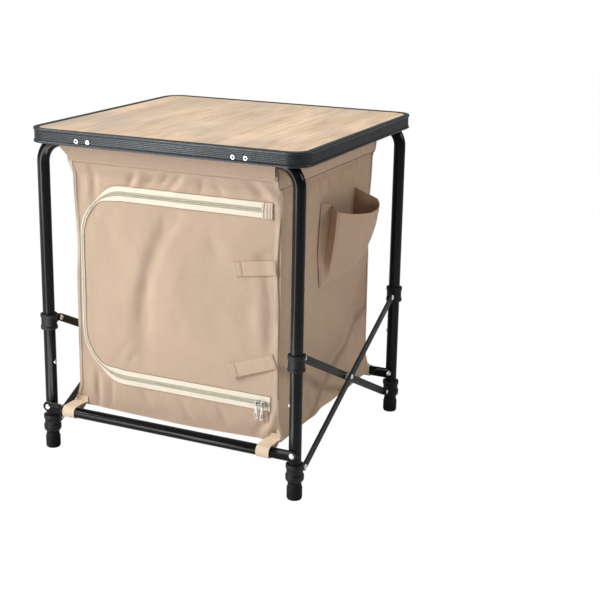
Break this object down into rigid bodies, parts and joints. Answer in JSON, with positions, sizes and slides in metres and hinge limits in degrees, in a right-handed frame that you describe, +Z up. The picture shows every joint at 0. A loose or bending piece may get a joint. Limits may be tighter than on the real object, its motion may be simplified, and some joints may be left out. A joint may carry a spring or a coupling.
{
  "type": "folding camping cupboard",
  "caption": "Folding camping cupboard: steel scissor frame, beige fabric cabinet with zipped door and shelves, wood-look lift-off tabletop.",
  "frame": {"origin": "middle of the base, on the floor between the four feet", "axes": "+Z up; the door faces -Y; +X is to the right when the door is looked at"},
  "size_m": [0.532, 0.508, 0.6],
  "materials": {
    "black_steel": "satin black powder coat",
    "black_plastic": "black moulded nylon",
    "black_rubber": "matt black rubber",
    "black_aluminium": "satin black anodised",
    "nickel": "nickel plated",
    "beige_canvas": "plain woven polyester canvas, warm beige",
    "cream_tape": "cream webbing and zip tape",
    "black_tape": "black binding tape",
    "light_oak": "light oak laminate, satin",
    "grey_board": "dark grey laminate, semi-gloss"
  },
  "bodies": {
    "root": {"front_frame_tube": "black_steel", "front_crossbar": "black_steel", "front_foot_left": "black_rubber", "front_foot_right": "black_rubber", "front_lower_bracket_left": "black_plastic", "front_lower_bracket_right": "black_plastic", "front_lower_pin_left": "nickel", "front_lower_pin_right": "nickel", "front_bar_loop_left": "cream_tape", "front_bar_loop_right": "cream_tape", "front_panel": "beige_canvas", "door_zip_outer": "cream_tape", "left_panel": "beige_canvas", "right_panel": "beige_canvas", "floor_panel": "beige_canvas", "side_pocket": "beige_canvas", "utensil_band": "beige_canvas"},
    "rear_frame": {"rear_frame_tube": "black_steel", "rear_crossbar": "black_steel", "rear_foot_left": "black_rubber", "rear_foot_right": "black_rubber", "rear_lower_bracket_left": "black_plastic", "rear_lower_bracket_right": "black_plastic", "rear_lower_pin_left": "nickel", "rear_lower_pin_right": "nickel", "rear_bar_loop_left": "cream_tape", "rear_bar_loop_right": "cream_tape", "rear_panel": "beige_canvas", "window_binding": "black_tape"},
    "outer_brace_right": {"outer_brace_right": "black_steel", "centre_pin_right": "nickel"},
    "inner_brace_right": {"inner_brace_right": "black_steel"},
    "front_collar_right": {"front_collar_right": "black_plastic", "front_collar_pin_right": "nickel"},
    "rear_collar_right": {"rear_collar_right": "black_plastic", "rear_collar_pin_right": "nickel"},
    "outer_brace_left": {"outer_brace_left": "black_steel", "centre_pin_left": "nickel"},
    "inner_brace_left": {"inner_brace_left": "black_steel"},
    "front_collar_left": {"front_collar_left": "black_plastic", "front_collar_pin_left": "nickel"},
    "rear_collar_left": {"rear_collar_left": "black_plastic", "rear_collar_pin_left": "nickel"},
    "tabletop": {"tabletop_board": "light_oak", "tabletop_edging": "black_aluminium", "tabletop_clip_front_left": "black_plastic", "tabletop_clip_front_right": "black_plastic", "tabletop_clip_rear_left": "black_plastic", "tabletop_clip_rear_right": "black_plastic"},
    "door": {"door_flap": "beige_canvas", "door_zip_inner": "cream_tape", "door_strap_upper": "cream_tape", "door_strap_lower": "cream_tape"},
    "zip_slider_left": {"zip_slider_left": "nickel"},
    "zip_slider_right": {"zip_slider_right": "nickel"},
    "zip_pull_left": {"zip_pull_left": "nickel"},
    "zip_pull_right": {"zip_pull_right": "nickel"},
    "shelf_sling": {"shelf_sling": "beige_canvas"},
    "middle_shelf": {"middle_shelf_board": "grey_board"},
    "bottom_shelf": {"bottom_shelf_board": "grey_board"}
  },
  "joints": [
    {"name": "frame_fold", "type": "hinge", "parent": "root", "child": "outer_brace_right", "pos_m": [0.247, -0.202, 0.049], "axis": [1, 0, 0], "range_deg": [0, 61], "deforming": ["left_panel", "right_panel", "floor_panel", "rear_panel", "window_binding", "rear_bar_loop_left", "rear_bar_loop_right", "shelf_sling", "side_pocket", "utensil_band"]},
    {"name": "inner_brace_right_pivot", "type": "hinge", "parent": "outer_brace_right", "child": "inner_brace_right", "pos_m": [0.247, 0, 0.147], "axis": [1, 0, 0], "range_deg": [-122, 0]},
    {"name": "rear_frame_pivot", "type": "hinge", "parent": "inner_brace_right", "child": "rear_frame", "pos_m": [0.247, 0.202, 0.049], "axis": [1, 0, 0], "range_deg": [0, 61]},
    {"name": "front_collar_right_pivot", "type": "hinge", "parent": "inner_brace_right", "child": "front_collar_right", "pos_m": [0.247, -0.202, 0.245], "axis": [1, 0, 0], "range_deg": [0, 61]},
    {"name": "rear_collar_right_pivot", "type": "hinge", "parent": "outer_brace_right", "child": "rear_collar_right", "pos_m": [0.247, 0.202, 0.245], "axis": [1, 0, 0], "range_deg": [-61, 0]},
    {"name": "outer_brace_left_pivot", "type": "hinge", "parent": "root", "child": "outer_brace_left", "pos_m": [-0.247, -0.202, 0.049], "axis": [1, 0, 0], "range_deg": [0, 61]},
    {"name": "inner_brace_left_pivot", "type": "hinge", "parent": "outer_brace_left", "child": "inner_brace_left", "pos_m": [-0.247, 0, 0.147], "axis": [1, 0, 0], "range_deg": [-122, 0]},
    {"name": "front_collar_left_pivot", "type": "hinge", "parent": "inner_brace_left", "child": "front_collar_left", "pos_m": [-0.247, -0.202, 0.245], "axis": [1, 0, 0], "range_deg": [0, 61]},
    {"name": "rear_collar_left_pivot", "type": "hinge", "parent": "outer_brace_left", "child": "rear_collar_left", "pos_m": [-0.247, 0.202, 0.245], "axis": [1, 0, 0], "range_deg": [-61, 0]},
    {"name": "shelf_sling_drop", "type": "slide", "parent": "root", "child": "shelf_sling", "axis": [0, 0, -1], "range_m": [0, 0.2]},
    {"name": "middle_shelf_tip", "type": "hinge", "parent": "shelf_sling", "child": "middle_shelf", "pos_m": [0, -0.199, 0.323], "axis": [1, 0, 0], "range_deg": [0, 90]},
    {"name": "bottom_shelf_tip", "type": "hinge", "parent": "root", "child": "bottom_shelf", "pos_m": [0, -0.192, 0.0998], "axis": [1, 0, 0], "range_deg": [0, 90]},
    {"name": "tabletop_lift", "type": "slide", "parent": "root", "child": "tabletop", "axis": [0, 0, 1], "range_m": [0, 0.08]},
    {"name": "door_swing", "type": "hinge", "parent": "root", "child": "door", "pos_m": [0.198, -0.2045, 0.321], "axis": [0, 0, 1], "range_deg": [0, 110]},
    {"name": "zip_slider_left_travel", "type": "slide", "parent": "door", "child": "zip_slider_left", "axis": [-1, 0, 0], "range_m": [0, 0.25]},
    {"name": "zip_slider_right_travel", "type": "slide", "parent": "door", "child": "zip_slider_right", "axis": [-1, 0, 0], "range_m": [0, 0.25]},
    {"name": "zip_pull_left_swing", "type": "hinge", "parent": "zip_slider_left", "child": "zip_pull_left", "pos_m": [0.164, -0.212, 0.152], "axis": [-1, 0, 0], "range_deg": [0, 150]},
    {"name": "zip_pull_right_swing", "type": "hinge", "parent": "zip_slider_right", "child": "zip_pull_right", "pos_m": [0.1748, -0.212, 0.152], "axis": [-1, 0, 0], "range_deg": [0, 150]}
  ],
  "couplings": [
    {"joint": "inner_brace_right_pivot", "follows": "frame_fold", "ratio": -2},
    {"joint": "rear_frame_pivot", "follows": "frame_fold", "ratio": 1},
    {"joint": "front_collar_right_pivot", "follows": "frame_fold", "ratio": 1},
    {"joint": "rear_collar_right_pivot", "follows": "frame_fold", "ratio": -1},
    {"joint": "outer_brace_left_pivot", "follows": "frame_fold", "ratio": 1},
    {"joint": "inner_brace_left_pivot", "follows": "frame_fold", "ratio": -2},
    {"joint": "front_collar_left_pivot", "follows": "frame_fold", "ratio": 1},
    {"joint": "rear_collar_left_pivot", "follows": "frame_fold", "ratio": -1},
    {"joint": "shelf_sling_drop", "follows": "frame_fold", "m_per_rad": 0.1878},
    {"joint": "middle_shelf_tip", "follows": "frame_fold", "ratio": 1.4754},
    {"joint": "bottom_shelf_tip", "follows": "frame_fold", "ratio": 1.4754},
    {"joint": "zip_slider_right_travel", "follows": "zip_slider_left_travel", "ratio": 1}
  ]
}
